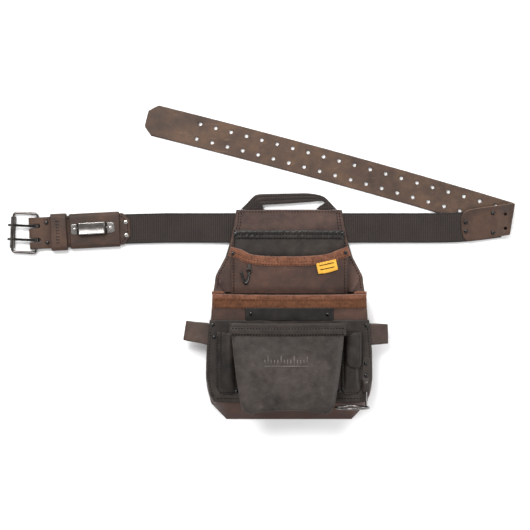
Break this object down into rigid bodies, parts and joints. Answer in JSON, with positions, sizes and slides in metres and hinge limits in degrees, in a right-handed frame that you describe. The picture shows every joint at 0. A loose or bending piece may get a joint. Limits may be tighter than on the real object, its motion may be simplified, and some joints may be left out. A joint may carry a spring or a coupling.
{
  "type": "tool belt",
  "caption": "Leather and webbing work belt with a two-prong roller buckle, a punched leather tail and a sliding nail-and-tool pouch, laid out flat on its back.",
  "frame": {"origin": "middle of the bounding box's bottom face, on the surface that the belt lies on", "axes": "+X along the belt from the buckle to the fold of its tail, +Y up the pouch towards its carrying handle, +Z away from the surface, out of the pockets' fronts"},
  "size_m": [0.8342, 0.5166, 0.0985],
  "materials": {
    "leather_brown": "oiled brown full-grain leather, matt, scuffed lighter",
    "leather_charcoal": "charcoal oiled leather, matt",
    "leather_dark": "dark grey-brown oiled leather, mottled, soft sheen",
    "suede_tan": "orange-brown suede",
    "webbing_black": "ribbed black webbing, matt",
    "label_yellow": "plain woven yellow tag",
    "steel_bright": "plated steel, satin",
    "steel_dark": "blackened steel, half gloss",
    "rivet_black": "black lacquered rivets, gloss"
  },
  "bodies": {
    "belt": {"web_belt": "webbing_black", "buckle_end_leather": "leather_brown", "tail_strap": "leather_brown", "belt_rivets": "rivet_black", "end_rivets": "steel_bright"},
    "buckle": {"buckle_frame": "steel_dark"},
    "roller": {"buckle_roller": "steel_dark"},
    "upper_prong": {"prong_upper": "steel_dark"},
    "lower_prong": {"prong_lower": "steel_dark"},
    "keeper": {"keeper_loop": "leather_brown"},
    "clip_carrier": {"clip_sleeve": "leather_brown", "tape_clip": "steel_dark", "clip_rivets": "steel_bright"},
    "ring": {"hammer_ring": "steel_bright"},
    "hook": {"key_hook": "rivet_black"},
    "handle": {"carry_handle": "webbing_black"},
    "pouch": {"back_panel": "leather_brown", "tunnel_panel": "leather_brown", "top_welt": "leather_brown", "top_pocket": "leather_charcoal", "top_pocket_hem": "leather_charcoal", "mid_pocket": "leather_brown", "mid_pocket_binding": "suede_tan", "big_pocket_gusset": "leather_brown", "big_pocket_front": "leather_brown", "big_pocket_binding": "suede_tan", "tool_panel": "leather_charcoal", "nail_patch": "leather_charcoal", "nail_pocket_gusset": "leather_dark", "nail_pocket_front": "leather_dark", "nail_pocket_binding": "leather_charcoal", "left_tool_pocket": "leather_charcoal", "right_tool_pocket": "leather_charcoal", "hammer_strap": "leather_charcoal", "left_hammer_loop": "leather_brown", "right_hammer_loop": "leather_brown", "hook_tab": "leather_charcoal", "label": "label_yellow", "pouch_rivets": "rivet_black"}
  },
  "joints": [
    {"name": "buckle_swing", "type": "hinge", "parent": "belt", "child": "buckle", "pos_m": [-0.36957, 0.04788, 0.0058], "axis": [0.0436, 0.999, 0], "range_deg": [-40, 40]},
    {"name": "roller_spin", "type": "hinge", "parent": "buckle", "child": "roller", "pos_m": [-0.40893, 0.0496, 0.0058], "axis": [0.0436, 0.999, 0], "continuous": true},
    {"name": "upper_prong_lift", "type": "hinge", "parent": "buckle", "child": "upper_prong", "pos_m": [-0.36906, 0.05937, 0.0058], "axis": [0.0436, 0.999, 0], "range_deg": [0, 55]},
    {"name": "lower_prong_lift", "type": "hinge", "parent": "buckle", "child": "lower_prong", "pos_m": [-0.37007, 0.0364, 0.0058], "axis": [0.0436, 0.999, 0], "range_deg": [0, 55]},
    {"name": "keeper_slide", "type": "slide", "parent": "belt", "child": "keeper", "axis": [0.9986, 0.0523, 0], "range_m": [-0.01, 0.003]},
    {"name": "clip_carrier_slide", "type": "slide", "parent": "belt", "child": "clip_carrier", "axis": [0.9986, 0.0523, 0], "range_m": [-0.003, 0.03]},
    {"name": "pouch_slide", "type": "slide", "parent": "belt", "child": "pouch", "axis": [1, 0, 0], "range_m": [-0.14, 0.12]},
    {"name": "ring_swing", "type": "hinge", "parent": "pouch", "child": "ring", "pos_m": [0.16973, -0.23331, 0.05], "axis": [0, 1, 0], "range_deg": [-5, 125]},
    {"name": "hook_lift", "type": "hinge", "parent": "pouch", "child": "hook", "pos_m": [-0.01946, -0.01131, 0.0292], "axis": [-1, 0, 0], "range_deg": [0, 120]},
    {"name": "handle_fold", "type": "hinge", "parent": "pouch", "child": "handle", "pos_m": [0.04553, 0.08889, 0.005], "axis": [1, 0, 0], "range_deg": [-6, 85]}
  ]
}
